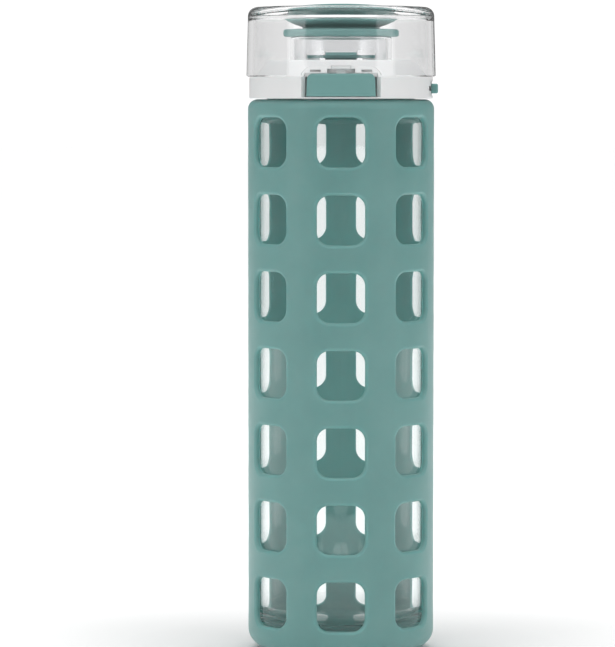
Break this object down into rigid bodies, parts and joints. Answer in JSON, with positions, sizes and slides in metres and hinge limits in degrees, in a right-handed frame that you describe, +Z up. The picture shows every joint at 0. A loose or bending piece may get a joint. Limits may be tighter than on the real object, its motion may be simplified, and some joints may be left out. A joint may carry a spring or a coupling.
{
  "type": "glass water bottle",
  "caption": "Tall glass water bottle in a windowed silicone sleeve, with a screw lid, clear flip cover, push button and lock slider.",
  "frame": {"origin": "centre of the base, on the surface it stands on", "axes": "+Z up along the bottle, -Y toward the push button (front), +X toward the lock knob, +Y toward the cover's hinge"},
  "size_m": [0.0751, 0.0762, 0.254],
  "materials": {
    "clear_glass": "gloss",
    "teal_silicone": "matte",
    "grey_silicone": "matte",
    "white_plastic": "satin",
    "teal_plastic": "satin",
    "clear_plastic": "gloss",
    "bright_steel": "polished"
  },
  "bodies": {
    "bottle": {"glass_bottle": "clear_glass", "silicone_sleeve": "teal_silicone"},
    "gasket": {"neck_gasket": "grey_silicone"},
    "lid": {"lid_deck": "white_plastic", "thread_liner": "white_plastic", "lid_collar": "white_plastic", "spout": "clear_plastic", "spout_seal": "grey_silicone", "hinge_cap": "teal_plastic", "hinge_pin": "bright_steel", "hinge_spring": "bright_steel", "button_springs": "bright_steel"},
    "cover": {"flip_cover": "clear_plastic", "stopper": "teal_silicone", "stopper_cap": "teal_plastic"},
    "button": {"release_button": "teal_plastic", "latch_plate": "white_plastic"},
    "lock": {"lock_slider": "white_plastic", "lock_knob": "teal_plastic"}
  },
  "joints": [
    {"name": "lid_rise", "type": "slide", "parent": "bottle", "child": "gasket", "axis": [0, 0, 1], "range_m": [0, 0.0053]},
    {"name": "lid_turn", "type": "hinge", "parent": "gasket", "child": "lid", "pos_m": [0, 0, 0.22], "axis": [0, 0, 1], "range_deg": [0, 450]},
    {"name": "cover_flip", "type": "hinge", "parent": "lid", "child": "cover", "pos_m": [0, 0.0346, 0.231], "axis": [-1, 0, 0], "range_deg": [0, 135], "deforming": ["hinge_spring"]},
    {"name": "button_press", "type": "slide", "parent": "lid", "child": "button", "axis": [0, 1, 0], "range_m": [0, 0.0014], "stiffness_N_per_m": 300, "deforming": ["button_springs"]},
    {"name": "lock_slide", "type": "hinge", "parent": "lid", "child": "lock", "pos_m": [0, 0, 0.2209], "axis": [0, 0, 1], "range_deg": [-13, 0]}
  ],
  "couplings": [
    {"joint": "lid_rise", "follows": "lid_turn", "m_per_rad": 0.00066845}
  ]
}
